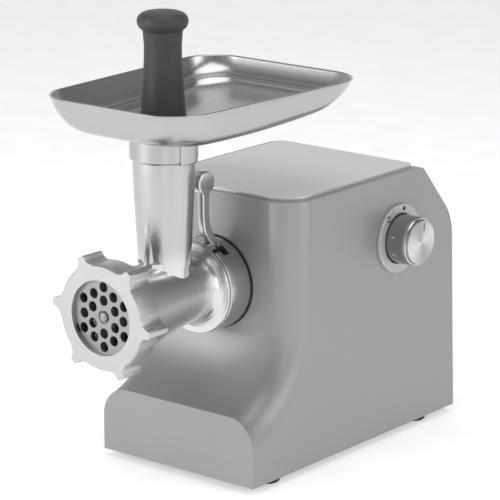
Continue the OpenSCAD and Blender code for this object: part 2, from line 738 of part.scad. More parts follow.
module second_gear()
    color(nylon) wheel(b_axis, gear2_z, stage2_m, direction(b_axis, a_axis), stage2_y, b_shaft_r, true);

module layshaft_a()
    color(steel) rod(a_axis, a_shaft_r, case_y + 0.5, cover_y + cover_plate - 0.5);

module second_pinion()
    color(steel) wheel(a_axis, pinion2_z, stage2_m, gap_phase(a_axis, b_axis, pinion2_z),
        [stage2_y[0] - 1, stage2_y[1] + 1], a_shaft_r);

module first_gear()
    color(nylon) wheel(a_axis, gear1_z, stage1_m, direction(a_axis, m_axis), stage1_y, a_shaft_r, true);

// --- Motor -------------------------------------------------------------------------------------------------
fan_y = [70, 80];
core_y = [92, 92 + core_len];
coil_over = 8;
commutator_y = [core_y[1] + 13, core_y[1] + 29];
rear_bearing_y = [core_y[1] + 34, core_y[1] + 42];
bracket_y = [rear_bearing_y[0] + 1, rear_bearing_y[1] + 1];
motor_screw_x = stator_r + 4.5;
motor_screw_r = 2.2;
commutator_r = 12;
pole_r = rotor_r + air_gap;

module motor_pinion()
    color(steel) wheel(m_axis, pinion1_z, stage1_m, gap_phase(m_axis, a_axis, pinion1_z),
        [stage1_y[0] - 1, stage1_y[1] + 1], 2.5);

module armature_shaft()
    color(steel) turned(m_axis, [[0, stage1_y[0] - 1.5], [2.5, stage1_y[0] - 1.5], [2.5, stage1_y[1] + 1],
        [motor_shaft_r, stage1_y[1] + 1], [motor_shaft_r, rear_bearing_y[1] + 1], [0, rear_bearing_y[1] + 1]]);

slots = 12;
module armature_core()
    color([0.45, 0.45, 0.47]) translate([m_axis[0], 0, m_axis[1]]) along_y(core_y[0], core_y[1]) difference() {
        circle(rotor_r);
        circle(motor_shaft_r);
        for (i = [0:slots - 1]) rotate(i * 360 / slots) {
            translate([rotor_r - 9, -2]) square([6.5, 4]);
            translate([rotor_r - 3, -0.8]) square([4, 1.6]);
        }
    }

module armature_windings()
    color(copper) {
        for (i = [0:slots - 1])
            translate([m_axis[0], 0, m_axis[1]]) along_y(core_y[0], core_y[1]) rotate(i * 360 / slots)
                translate([rotor_r - 8.8, -1.8]) square([6, 3.6]);
        turned(m_axis, [[motor_shaft_r + 2, core_y[0] - coil_over], [rotor_r - 5, core_y[0] - coil_over],
            [rotor_r - 2, core_y[0] - 3], [rotor_r - 2.6, core_y[0]], [motor_shaft_r + 2, core_y[0]]]);
        turned(m_axis, [[motor_shaft_r + 2, core_y[1]], [rotor_r - 2.6, core_y[1]], [rotor_r - 2, core_y[1] + 3],
            [rotor_r - 5, core_y[1] + coil_over], [motor_shaft_r + 2, core_y[1] + coil_over]]);
    }

bars = 24;
module commutator()
    color([0.8, 0.5, 0.3]) translate([m_axis[0], 0, m_axis[1]])
        along_y(commutator_y[0], commutator_y[1]) difference() {
            circle(commutator_r);
            circle(motor_shaft_r);
            for (i = [0:bars - 1]) rotate(i * 360 / bars) translate([commutator_r - 1.2, -0.3]) square([2, 0.6]);
        }

blades = 9;
fan_r = 36;
module cooling_fan()
    color(dark_grey) {
        pipe(m_axis, 9, motor_shaft_r, fan_y[0], fan_y[1]);
        pipe(m_axis, fan_r, 9, fan_y[1] - 1.5, fan_y[1]);
        for (i = [0:blades - 1])
            translate([m_axis[0], 0, m_axis[1]]) along_y(fan_y[0], fan_y[1] - 1.5)
                rotate(i * 360 / blades) translate([8.5, -0.9]) square([fan_r - 9, 1.8]);
    }

module motor_bearings()
    color(steel) {
        pipe(m_axis, bearing_r, motor_shaft_r + run_gap, cover_y, cover_y + cover_plate);
        pipe(m_axis, bearing_r, motor_shaft_r + run_gap, rear_bearing_y[0], rear_bearing_y[1]);
    }

// Two-pole laminated ring with an ear for each long screw
module stator_core()
    color([0.5, 0.5, 0.52]) translate([0, 0, m_axis[1]]) along_y(core_y[0], core_y[1]) difference() {
        union() {
            circle(stator_r);
            for (side = [-1, 1]) translate([side * motor_screw_x, 0]) circle(5);
        }
        difference() {
            circle(stator_r - 7);
            for (side = [-1, 1]) translate([-16, side > 0 ? pole_r - 6 : -stator_r + 6])
                square([32, stator_r - pole_r]);
            difference() {
                circle(pole_r + 4.5);
                translate([-pole_r - 8, -12]) square([2 * pole_r + 16, 24]);
            }
        }
        circle(pole_r);
        for (side = [-1, 1]) translate([side * motor_screw_x, 0]) circle(motor_screw_r);
    }

// One coil round each pole, standing out of both ends of the core
module field_coils()
    color(copper) for (side = [-1, 1])
        translate([0, 0, m_axis[1]]) difference() {
            along_y(core_y[0] - coil_over, core_y[1] + coil_over)
                translate([-23, side > 0 ? pole_r + 5 : -stator_r + 7.5])
                square([46, stator_r - pole_r - 12.5]);
            along_y(core_y[0] - 0.01, core_y[1] + 0.01) translate([-16.2, -stator_r]) square([32.4, 2 * stator_r]);
            along_y(core_y[0] - coil_over - 1, core_y[1] + coil_over + 1) difference() {
                circle(stator_r + 10);
                circle(stator_r - 7.2);
            }
        }

bracket_h = 26;
module motor_bracket()
    color([0.7, 0.7, 0.71]) translate([0, 0, m_axis[1]]) difference() {
        along_y(bracket_y[0], bracket_y[1]) round_rect(2 * motor_screw_x + 12, bracket_h, 6);
        rod([0, 0], bearing_r, bracket_y[0] - 2, rear_bearing_y[1]);
        rod([0, 0], motor_shaft_r + 2, rear_bearing_y[1] - 1, bracket_y[1] + 1);
        for (side = [-1, 1]) rod([side * motor_screw_x, 0], motor_screw_r, bracket_y[0] - 1, bracket_y[1] + 1);
    }

module motor_screws()
    color(steel) for (side = [-1, 1]) {
        c = [side * motor_screw_x, m_axis[1]];
        rod(c, motor_screw_r, cover_y + 0.5, bracket_y[1]);
        rod(c, 4, bracket_y[1], bracket_y[1] + 2.5);
        pipe(c, 4, motor_screw_r, core_y[1], bracket_y[0]);
        pipe(c, 4, motor_screw_r, cover_y + cover_plate + 6, core_y[0]);
    }

brush_w = 6;
brush_len = 16;
holder_wall = 1.2;
brush_y = (commutator_y[0] + commutator_y[1]) / 2;
brush_end = commutator_r + 0.1 + brush_len;
holder_end = brush_end + 9;
holder_start = commutator_r + 3;

module carbon_brushes()
    color(black) for (side = [-1, 1])
        translate([side * (commutator_r + 0.1 + brush_len / 2), brush_y, m_axis[1]])
            cube([brush_len, brush_w, brush_w], center = true);

// Boxes that guide the brushes, on arms that reach the rear bracket
module brush_holders() {
    out = brush_w + 2 * holder_wall;
    color([0.75, 0.6, 0.3]) for (side = [-1, 1]) translate([0, 0, m_axis[1]]) {
        translate([side * (holder_start + holder_end) / 2, brush_y, 0]) difference() {
            cube([holder_end - holder_start, out, out], center = true);
            translate([-side * holder_wall, 0, 0])
                cube([holder_end - holder_start, brush_w, brush_w], center = true);
        }
        translate([side * (holder_end - 4) - 2, brush_y + out / 2 - 0.01, -3])
            cube([4, bracket_y[0] - brush_y - out / 2 + 0.01, 6]);
    }
}

// Faces of a bar of n lengths, each ring of it given as four points
function bar_quad(p, flip) = flip ? [[p[0], p[2], p[1]], [p[0], p[3], p[2]]] : [[p[0], p[1], p[2]], [p[0], p[2], p[3]]];
function bar_faces(n, flip) = concat(
    bar_quad([3, 2, 1, 0], flip), bar_quad([4 * n, 4 * n + 1, 4 * n + 2, 4 * n + 3], flip),
    [for (i = [0:n - 1]) for (k = [0:3]) let (a = 4 * i + k, b = 4 * i + (k + 1) % 4)
        each bar_quad([a, b, b + 4, a + 4], flip)]);

// A wire coiled round the X axis: one closed tube of square section
coil_turns = 4;
coil_steps = 10;
function coil_ring(i, pitch, r, wire) = let (a = i * 360 / coil_steps, x = pitch * i / coil_steps) [
    for (k = [0:3]) let (b = 45 + 90 * k, rr = r + wire * cos(b))
        [x + wire * sin(b), rr * cos(a), rr * sin(a)]
];
module coil(len, r, wire) {
    n = coil_turns * coil_steps;
    translate([wire, 0, 0])
        polyhedron([for (i = [0:n]) each coil_ring(i, (len - 2 * wire) / coil_turns, r, wire)], bar_faces(n, false));
}

module brush_springs()
    color(steel) for (side = [0, 1]) translate([0, brush_y, m_axis[1]]) rotate([0, 0, 180 * side])
        translate([brush_end + 0.2, 0, 0]) coil(holder_end - holder_wall - brush_end - 0.4, 2, 0.4);

// --- Grinding head -----------------------------------------------------------------------------------------
flange_y = -collar_len - 0.4;
tube_c = [0, -tube_d];
cup_in_r = plate_r + 0.1;
thread_r = cup_in_r + 4.4;
nut_in_r = thread_r + run_gap;
nut_out_r = nut_in_r + nut_wall;
nut_front = -nut_face_d;
plate_face = nut_front + 3.65;
cup_end = plate_face + 2.8;
cup_start = plate_face + 14.6;
flare_start = cup_start + 9;
nut_rear = nut_front + nut_len;
neck_y = flange_y - 14;
rear_face_y = -collar_back - 1;

// The barrel's flange meets it in a hollow curve, then the barrel widens smoothly from its neck to the thread
flange_t = 2;
fillet_r = 8;
fillet_steps = 5;
flare_steps = 12;
flare_power = 1.7;
function flare_r(s) = neck_r + (thread_r - neck_r) * pow(s, flare_power);
barrel_profile = concat(
    [[0, rear_face_y], [head_spigot_r, rear_face_y], [head_spigot_r, flange_y], [collar_r - 0.5, flange_y],
        [collar_r - 0.5, flange_y - flange_t + 0.4], [collar_r - 0.9, flange_y - flange_t]],
    [for (i = [0:fillet_steps]) let (a = 90 * i / fillet_steps)
        [neck_r + fillet_r * (1 - sin(a)), flange_y - flange_t - fillet_r * (1 - cos(a))]],
    [for (i = [0:flare_steps]) let (s = i / flare_steps) [flare_r(s), neck_y + (nut_rear - neck_y) * s]],
    [[thread_r, cup_end], [0, cup_end]]);

// Feed tube: its lower edge stands clear of the barrel, on a narrower neck
tube_edge_r = neck_r + 5.9;
tube_edge_h = neck_r + 2.2;
tube_straight_z = foot_h + rim_h - tray_depth - 28;
tube_top_z = foot_h + rim_h - tray_depth - 3;
sleeve_gap = slide_gap;
rib_lean = -2.6;

module head_casting()
    color(polished) difference() {
        union() {
            turned(o_axis, barrel_profile);
            difference() {
                translate([0, -tube_d, 0]) rotate_extrude() polygon([[0, axis_z + tube_edge_h],
                    [tube_foot_r, axis_z + tube_edge_h], [tube_foot_r + 1.3, axis_z + 51], [tube_foot_r + 2.6, axis_z + 75],
                    [tube_top_r, tube_straight_z], [tube_top_r, tube_top_z], [0, tube_top_z]]);
                rod(o_axis, neck_r + 3.2, -tube_d - 30, -tube_d + 30);
            }
            translate([0, -tube_d, axis_z]) cylinder(r = tube_foot_r - 1.1, h = tube_edge_r + 4);
            // a lip in front of the tube's foot, and a rib that runs up from it and dies into the tube
            translate([0, -tube_d - tube_foot_r + 7.3, axis_z]) cylinder(r = 12, h = tube_edge_r + 0.5);
            translate([0, -tube_d - tube_foot_r + 2.4, axis_z + 18]) rotate([rib_lean, 0, 0])
                cylinder(r = 6, h = 46);
        }
        turned(o_axis, [[0, rear_face_y + 1], [auger_bore_r, rear_face_y + 1], [auger_bore_r, flare_start],
            [plate_r - 2, cup_start], [cup_in_r, cup_start], [cup_in_r, cup_end - 1], [0, cup_end - 1]]);
        translate([0, -tube_d, axis_z]) cylinder(r = tube_bore_r, h = tube_top_z - axis_z + 1);
    }

// Auger: a shaft with one helical flight that carries the food forwards
auger_r = auger_bore_r - 0.7;
auger_core_r = 8;
washer_t = 0.9;
auger_rear = -collar_back - washer_t - 0.6;
auger_front = cup_start + 1;
flight_start = auger_rear - 6;
flight_end = auger_front + 4;
flight_pitch = 27;
flight_t = 3.6;
flight_step = 12;
flight_n = ceil((flight_start - flight_end) / flight_pitch * 360 / flight_step);
function flight_ring(i) = let (a = i * flight_step, y = flight_start - (flight_start - flight_end) * i / flight_n) [
    for (p = [[auger_core_r - 1.5, -flight_t / 2], [auger_r, -flight_t / 3], [auger_r, flight_t / 3],
        [auger_core_r - 1.5, flight_t / 2]]) [p[0] * cos(a), y + p[1], p[0] * sin(a)]
];
module flight()
    polyhedron([for (i = [0:flight_n]) each flight_ring(i)], bar_faces(flight_n, true));

stud_hole_r = 3;
module auger()
    color([0.7, 0.7, 0.72]) translate([0, 0, axis_z]) difference() {
        union() {
            turned([0, 0], [[0, auger_rear], [auger_r, auger_rear], [auger_r, auger_rear - 3],
                [auger_core_r + 1, auger_rear - 5], [auger_core_r, auger_rear - 8], [auger_core_r, auger_front],
                [0, auger_front]]);
            flight();
        }
        rod([0, 0], stud_hole_r, auger_front - 1, auger_front + 12);
        rod([0, 0], stud_hole_r, auger_rear - 12, auger_rear + 1);
    }

knife_y = [plate_face + plate_t + 0.2, plate_face + plate_t + 5.2];
stud_square = 9;
stud_pin_r = 3.7;
module auger_stud()
    color(steel) {
        rod(o_axis, stud_hole_r, auger_front, auger_front + 11);
        translate([-stud_square / 2, knife_y[0] + 0.3, axis_z - stud_square / 2])
            cube([stud_square, auger_front - knife_y[0] - 0.3, stud_square]);
        turned(o_axis, [[0, plate_face - 1.6], [stud_pin_r - 1.6, plate_face - 1.6], [stud_pin_r - 0.5, plate_face - 1.1],
            [stud_pin_r, plate_face], [stud_pin_r, knife_y[0] + 0.3], [0, knife_y[0] + 0.3]]);
    }

drive_gap = 0.3;
module auger_drive()
    color(nylon) {
        rod(o_axis, stud_hole_r, auger_rear - 11, auger_rear);
        rod(o_axis, 15, auger_rear, auger_rear + 1.8);
        translate([drive_gap - drive_square / 2, auger_rear + 1.8, axis_z + drive_gap - drive_square / 2])
            cube([drive_square - 2 * drive_gap, 11 - auger_rear, drive_square - 2 * drive_gap]);
    }

module thrust_washer()
    color([0.85, 0.85, 0.85]) pipe(o_axis, auger_r - 1, 15 + slide_gap, auger_rear, auger_rear + washer_t);

knife_r = plate_r - 5;
module knife()
    color(steel) difference() {
        union() {
            rod(o_axis, 9.5, knife_y[0], knife_y[1]);
            for (i = [0:3]) translate([0, 0, axis_z]) along_y(knife_y[0], knife_y[1] - 1) rotate(i * 90)
                polygon([[0, -4.5], [knife_r - 2, -2.5], [knife_r, 1.5], [knife_r - 1, 4], [8, 6], [0, 6]]);
        }
        translate([-stud_square / 2, knife_y[0] - 1, axis_z - stud_square / 2])
            cube([stud_square, knife_y[1] - knife_y[0] + 2, stud_square]);
    }

// Holes of the plate: six round the centre, twelve on the hexagon outside them
hole_pitch = 12.2;
plate_holes = concat(
    [for (i = [0:5]) on_circle([0, 0], hole_pitch, 30 + 60 * i)],
    [for (i = [0:5]) on_circle([0, 0], 1.82 * hole_pitch, 30 + 60 * i)],
    [for (i = [0:5]) on_circle([0, 0], 1.53 * hole_pitch, 60 * i)]);
module cutting_plate()
    color([0.5, 0.5, 0.5]) difference() {
        translate([0, 0, axis_z]) along_y(plate_face, plate_face + plate_t) difference() {
            circle(plate_r);
            circle(stud_pin_r + run_gap);
            for (p = plate_holes) translate(p) circle(plate_hole_r);
            for (a = [-27, 207]) rotate(a) translate([plate_r - 4.4, -3]) square([6, 6]);
        }
        rod(o_axis, stud_pin_r + 1.2, plate_face - 1, plate_face + 1.4);
    }

lugs = 6;
lug_turn = 54;
lug_scoop_r = 7;
lug_tip = 3.2;
lug_round = 2;
lug_half_angle = asin((lug_tip + lug_scoop_r) / (nut_out_r + lug_scoop_r));
module lug_shape() {
    root = nut_out_r - 1.5;
    end = nut_out_r + lug_h - lug_round;
    low = root * sin(lug_half_angle);
    high = end * tan(lug_half_angle);
    difference() {
        polygon([[root * cos(lug_half_angle), -low], [end, -high], [end, high], [root * cos(lug_half_angle), low]]);
        for (s = [-1, 1]) rotate(s * lug_half_angle) translate([nut_out_r + lug_scoop_r, 0]) circle(lug_scoop_r);
    }
    for (s = [-1, 1]) translate([end, s * (lug_tip - lug_round)]) circle(lug_round);
    translate([end - 1, lug_round - lug_tip]) square([lug_round + 1, 2 * (lug_tip - lug_round)]);
}
module ring_nut()
    color(polished) {
        turned(o_axis, [[nut_opening_r, nut_front], [nut_out_r - 1, nut_front], [nut_out_r, nut_front + 1],
            [nut_out_r, nut_rear - 0.6], [nut_out_r - 0.6, nut_rear], [nut_in_r, nut_rear],
            [nut_in_r, plate_face - 0.1], [nut_opening_r, plate_face - 0.1]]);
        for (i = [0:lugs - 1]) translate([0, 0, axis_z]) along_y(nut_front, nut_rear)
            rotate(lug_turn + i * 360 / lugs) lug_shape();
    }

// --- Tray and pusher ---------------------------------------------------------------------------------------
rim_z = foot_h + rim_h;
floor_z = rim_z - tray_depth;

// Tray outline moved inwards by t, wider at the rear than at the front
module tray_outline(t)
    hull() {
        r = tray_corner_r - t;
        for (x = [-1, 1]) {
            translate([x * (tray_front_w - tray_corner_r), tray_corner_r - tray_front]) circle(r, $fn = 48);
            translate([x * (tray_rear_w - tray_corner_r), tray_rear - tray_corner_r]) circle(r, $fn = 48);
        }
    }
// Levels of the tray's outside as [inset, height above its underside]
tray_levels = [[20, 0], [10, 4], [5, 11], [0, tray_depth]];
module tray_form(t)
    hull() for (level = tray_levels)
        translate([0, 0, floor_z - tray_t + level[1] + (level[1] > 11 ? tray_t - 0.02 : t)])
            linear_extrude(0.02) tray_outline(level[0] + t);

module tray()
    color(polished) difference() {
        tray_form(0);
        translate([0, 0, 0.04]) tray_form(tray_t);
        translate([0, -tube_d, floor_z - tray_t - 1]) cylinder(r = tube_bore_r + 0.2, h = 4);
    }

sleeve_in_r = tube_top_r + sleeve_gap;
sleeve_out_r = sleeve_in_r + 2.05;
sleeve_low_z = floor_z - 20.6;
module tray_sleeve()
    color(polished) translate([0, -tube_d, 0]) {
        rotate_extrude() polygon([[sleeve_in_r, sleeve_low_z], [sleeve_out_r - 1.6, sleeve_low_z],
            [sleeve_out_r, sleeve_low_z + 1.6], [sleeve_out_r, floor_z - tray_t], [tube_bore_r + 0.2, floor_z - tray_t],
            [tube_bore_r + 0.2, tube_top_z + 0.4], [sleeve_in_r, tube_top_z + 0.4]]);
        // raised pads at both sides
        for (a = [0, 180]) translate([0, 0, sleeve_low_z - 0.8]) rotate([0, 0, a - 21])
            rotate_extrude(angle = 42) polygon([[sleeve_out_r - 1.1, 0], [sleeve_out_r + 0.4, 0],
                [sleeve_out_r + 1, 1], [sleeve_out_r + 1, floor_z - tray_t - sleeve_low_z + 0.2],
                [sleeve_out_r - 1.1, floor_z - tray_t - sleeve_low_z + 0.2]]);
    }

pusher_neck_r = 13.6;
pusher_knob_r = 18.6;
plunger_r = tube_bore_r - 0.6;
pusher_flange_r = tube_bore_r + 2.4;
pusher_z = floor_z + 0.1;
// Outline of the cap as [share of the knob's radius, depth below its top]
cap_profile = [[0.774, 15], [0.817, 13.6], [0.925, 12], [0.984, 9.5], [1, 7.5], [0.99, 6], [0.957, 4.5], [0.9, 3.1],
    [0.82, 2], [0.68, 1], [0.48, 0.4], [0.25, 0.1], [0, 0]];
module pusher() {
    top = pusher_z + pusher_h;
    color(dark_grey) translate([0, -tube_d, 0]) rotate_extrude() polygon(concat(
        [[0, pusher_z - plunger_len], [plunger_r - 1.5, pusher_z - plunger_len],
            [plunger_r, pusher_z - plunger_len + 1.5], [plunger_r, pusher_z], [pusher_flange_r, pusher_z],
            [pusher_flange_r, pusher_z + 0.9], [pusher_flange_r - 1.4, pusher_z + 3.2],
            [pusher_neck_r + 3, pusher_z + 11], [pusher_neck_r + 1.5, pusher_z + 30],
            [pusher_neck_r + 0.2, pusher_z + 52], [pusher_neck_r, pusher_z + 62]],
        [for (c = cap_profile) [c[0] * pusher_knob_r, top - c[1]]]));
}

housing();
top_plate();
rear_cover();
base_plate();
feet();
foot_screws();
base_screws();
cover_screws();
cord_inlet();
outlet_collar();
collar_gasket();
outlet_screws();
lock_lever();
dial_bezel();
dial_seal();
knob_body();
knob_ring();
knob_disc();
switch_spindle();
rotary_switch();
control_board();
board_parts();
gear_case();
gear_cover();
case_screws();
spindle_bushes();
output_spindle();
output_gear();
layshaft_b();
third_pinion();
second_gear();
layshaft_a();
second_pinion();
first_gear();
layshaft_bushes();
motor_pinion();
armature_shaft();
armature_core();
armature_windings();
commutator();
cooling_fan();
motor_bearings();
stator_core();
field_coils();
motor_bracket();
motor_screws();
brush_holders();
carbon_brushes();
brush_springs();
head_casting();
auger();
auger_stud();
auger_drive();
thrust_washer();
knife();
cutting_plate();
ring_nut();
tray();
tray_sleeve();
pusher();
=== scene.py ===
# %% [markdown]
# # An electric meat grinder, dressed in its finishes
# The frame of this scene is an engineering model that already has every part in its place, in metres, with X across
# the body, -Y towards the outlet and Z up. The work here is the looks. We give every part a finish made of shader
# nodes, soften edges with modifiers, and rebuild in mesh code the few pieces whose shape is too soft for CAD solids.

# %% Load the fixed frame
import json
import math

import bpy
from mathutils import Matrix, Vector


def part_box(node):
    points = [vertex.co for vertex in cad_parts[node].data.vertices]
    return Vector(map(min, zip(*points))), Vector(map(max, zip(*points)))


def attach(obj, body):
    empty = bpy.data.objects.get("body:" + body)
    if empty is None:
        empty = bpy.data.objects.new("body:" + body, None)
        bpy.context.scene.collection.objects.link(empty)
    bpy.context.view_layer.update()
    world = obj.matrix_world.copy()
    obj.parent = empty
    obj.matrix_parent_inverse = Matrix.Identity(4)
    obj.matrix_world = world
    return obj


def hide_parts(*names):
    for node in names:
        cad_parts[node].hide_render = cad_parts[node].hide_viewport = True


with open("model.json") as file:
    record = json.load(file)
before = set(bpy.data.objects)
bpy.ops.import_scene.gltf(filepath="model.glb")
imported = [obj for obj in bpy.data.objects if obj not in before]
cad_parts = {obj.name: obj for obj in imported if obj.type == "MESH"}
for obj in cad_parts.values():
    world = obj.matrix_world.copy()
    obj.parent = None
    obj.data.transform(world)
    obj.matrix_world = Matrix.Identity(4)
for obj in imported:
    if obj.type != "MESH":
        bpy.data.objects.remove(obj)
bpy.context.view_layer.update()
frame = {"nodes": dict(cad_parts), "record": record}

nodes = frame["nodes"]

# %% [markdown]
# ## Where things are
# Nothing is placed by eye. A part's box gives its corners, so the barrel's axis is the middle of the cutting plate,
# the dial's axis is the middle of its ring, and the feed tube's axis is the middle of the pusher.

# %% Places, read from the parts' boxes
MM = 0.001


def corners(name):
    return [Vector(corner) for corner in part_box(name)]


def middle(name):
    low, high = corners(name)
    return (low + high) / 2


barrel, tube, dial = middle("cutting_plate"), middle("pusher"), middle("knob_ring")
print("barrel axis", barrel, "feed tube axis", tube, "dial", dial)

# %% [markdown]
# ## A small language for shader maths
# A shader is a graph of nodes, and plain sums in it take a node each. It could be drawn by hand in the node editor,
# or built with long link calls. Wrapping a socket in a class that knows +, -, * and / keeps a finish as short as
# its formula.

# %% The socket class
class Sock:
    """An output socket that can be used in sums."""

    def __init__(self, graph, out):
        self.graph, self.out = graph, out

    def __add__(self, other):
        return self.graph.maths("ADD", self, other)

    def __sub__(self, other):
        return self.graph.maths("SUBTRACT", self, other)

    def __rsub__(self, other):
        return self.graph.maths("SUBTRACT", other, self)

    def __mul__(self, other):
        return self.graph.maths("MULTIPLY", self, other)

    def __truediv__(self, other):
        return self.graph.maths("DIVIDE", self, other)

    def __rtruediv__(self, other):
        return self.graph.maths("DIVIDE", other, self)

    __radd__, __rmul__ = __add__, __mul__


# %% [markdown]
# ## One way to add a node
# Nodes differ in three things only: their type, their settings and what their sockets hold. One method that takes
# those three makes them all, so the same few lines serve the finishes and the sky. A socket is called by its name,
# or by its number, as i0 or i6, where several share a name.

# %% The graph class
class Graph:
    """A node tree, and the ways of adding to it."""

    def __init__(self, tree):
        self.tree = tree

    def node(self, kind, settings=None, out=0, **values):
        made = self.tree.nodes.new(kind)
        for key, value in (settings or {}).items():
            if key == "stops":
                self.set_stops(made.color_ramp, value)
            else:
                setattr(made, key, value)
        for key, value in values.items():
            slot = made.inputs[int(key[1:]) if key[1:].isdigit() else key]
            if isinstance(value, Sock):
                self.tree.links.new(value.out, slot)
            else:
                slot.default_value = value
        return Sock(self, made.outputs[out])

    def set_stops(self, ramp, stops):
        while len(ramp.elements) < len(stops):
            ramp.elements.new(0.5)
        for element, (position, colour) in zip(ramp.elements, stops):
            element.position, element.color = position, (*colour, 1)

    def maths(self, how, *values):
        return self.node("ShaderNodeMath", {"operation": how}, **{f"i{k}": value for k, value in enumerate(values)})

    def axes(self, vector):
        """The x, y and z of a vector, as three sockets."""
        split = self.node("ShaderNodeSeparateXYZ", Vector=vector)
        return [Sock(self, out) for out in split.out.node.outputs]

    def between(self, mask, one, two):
        """A mix of two colours; mask 0 gives the first."""
        one, two = (c if isinstance(c, Sock) else (*c, 1) for c in (one, two))
        return self.node("ShaderNodeMix", {"data_type": "RGBA"}, out=2, i0=mask, i6=one, i7=two)


# %% [markdown]
# ## A finish
# Every finish is a Principled surface. What is the same all over is set on its own sockets. What varies comes from
# noise in the part's own coordinates, and feeds only colour, roughness and a bump.

# %% The finish class
class Finish(Graph):
    """A material on its way: a Principled surface and the nodes that feed it."""

    def __init__(self, name, **same):
        self.material = bpy.data.materials.new(name)
        self.material.use_nodes = True
        super().__init__(self.material.node_tree)
        self.surface = self.tree.nodes["Principled BSDF"]
        for socket, value in same.items():
            self.surface.inputs[socket.replace("_", " ").title().replace("Ior", "IOR")].default_value = value
        self.place = self.node("ShaderNodeTexCoord", out="Object")

    def noise(self, scale, detail=3.0, where=None, rough=0.55):
        return self.node("ShaderNodeTexNoise", Vector=where or self.place, Scale=scale, Detail=detail, Roughness=rough)

    def noise_along(self, distance, scale):
        """Noise of one number, such as an angle or a distance from an axis."""
        return self.node("ShaderNodeTexNoise", {"noise_dimensions": "1D"}, W=distance, Scale=scale, Detail=3.0)

    def feed(self, socket, value):
        self.tree.links.new(value.out, self.surface.inputs[socket])

    def bump(self, height, distance):
        self.feed("Normal", self.node("ShaderNodeBump", Height=height, Distance=distance, Strength=1.0))


def darker(tone, share):
    return [c * share for c in tone]


print("shader tools ready")

# %% [markdown]
# ## Silver paint
# The body is moulded or cast, then sprayed with silver paint. Its metal flakes lie at slightly different angles, so
# the surface sparkles very finely and its highlight is wide. A metallic surface alone would mirror too much, so the
# paint is partly metallic and rather rough, with two sizes of noise in its tone and a faint orange-peel bump.

# %% Silver paint
def silver_paint(name, tone=0.33):
    f = Finish(name, metallic=0.55, coat_weight=0.12, coat_roughness=0.25)
    flake, cloud = f.noise(2600.0, 2.0), f.noise(9.0)
    dim, lit = (tone * 0.94,) * 3, (tone * 1.06, tone * 1.06, tone * 1.065)
    f.feed("Base Color", f.between(0.35 * flake + 0.65 * cloud, dim, lit))
    f.feed("Roughness", 0.38 + 0.1 * flake + 0.05 * cloud)
    f.bump(f.noise(900.0, 2.0), 0.00004)
    return f.material


# %% [markdown]
# ## Polished metal
# The bright trim and the machined steel are nearly mirrors, but never perfectly flat, so a broad shallow bump makes
# their reflections swim a little. The head is one casting whose tone is painted in two: its barrel is machined, and
# its tone is painted brightest there as a painted sheen for the bright room it mirrors, and painted duller up the
# feed tube. Two materials would meet in a hard line there, so one finish fades with height instead.

# %% Polished metal and the head's casting
def polish(f, one, two, rough, wave, share=None):
    """What polished finishes have in common. The two tones mix by cloud, or mostly by share where it is given."""
    cloud, fine = f.noise(28.0), f.noise(420.0, 4.0)
    f.feed("Base Color", f.between(cloud if share is None else 0.85 * share + 0.15 * cloud, one, two))
    f.feed("Roughness", rough + 0.06 * fine + 0.05 * cloud)
    f.bump(f.noise(45.0, 2.0) + 0.04 * fine, wave)
    return f.material


def polished_metal(name, tone, rough, wave=0.00012):
    return polish(Finish(name, metallic=1.0), darker(tone, 0.9), tone, rough, wave)


def painted_sheen_casting(name, low, high, foot=(0.7, 0.7, 0.71), top=(0.5, 0.5, 0.51)):
    f = Finish(name, metallic=1.0)
    # painted brightness: the tone is painted brightest on the barrel and duller up the feed tube, standing in for
    # reflections
    share = f.node("ShaderNodeMapRange", Value=f.axes(f.place)[2], i1=low, i2=high)
    return polish(f, foot, top, 0.2, 0.00008, share)


# %% [markdown]
# ## Cast and brushed metal
# A part left as it came from the mould has a fine grit all over. The sheet on top of the body shows the lines of its
# brushing. They could be a picture of scratches, but noise that is squeezed along one direction gives lines that
# never repeat.

# %% Cast and brushed metal
def cast_metal(name, tone, rough=0.36, grain=0.00008):
    f = Finish(name, metallic=1.0)
    grit, cloud = f.noise(1500.0), f.noise(36.0)
    f.feed("Base Color", f.between(0.5 * grit + 0.5 * cloud, darker(tone, 0.84), tone))
    f.feed("Roughness", rough + 0.12 * grit)
    f.bump(grit, grain)
    return f.material


def brushed_metal(name, along, tone, rough, depth):
    f = Finish(name, metallic=1.0)
    squeeze = [1.0 if axis == along else 45.0 for axis in "xyz"]
    lines = f.noise(45.0, 4.0, f.node("ShaderNodeMapping", Vector=f.place, Scale=squeeze), 0.7)
    f.feed("Base Color", f.between(lines, darker(tone, 0.82), darker(tone, 1.06)))
    f.feed("Roughness", rough + 0.16 * lines + 0.05 * f.noise(14.0))
    f.bump(lines, depth)
    return f.material


# %% [markdown]
# ## Turned metal
# The cutting plate was faced on a lathe, so its marks are rings. The distance from the axis is the length of the
# place vector once the part along the axis is taken out. One-dimensional noise of that distance gives rings of
# uneven width, as a lathe tool does.

# %% Turned metal
def turned_metal(name, centre, across, tone, rough):
    f = Finish(name, metallic=1.0)
    away = f.node("ShaderNodeVectorMath", {"operation": "SUBTRACT"}, i0=f.place, i1=tuple(centre))
    flat = f.node("ShaderNodeVectorMath", {"operation": "MULTIPLY"}, i0=away, i1=across)
    radius = f.node("ShaderNodeVectorMath", {"operation": "LENGTH"}, out="Value", i0=flat)
    rings = f.noise_along(radius, 900.0)
    f.feed("Base Color", f.between(rings, darker(tone, 0.84), darker(tone, 1.05)))
    f.feed("Roughness", rough + 0.2 * rings)
    f.bump(rings, 0.00003)
    return f.material
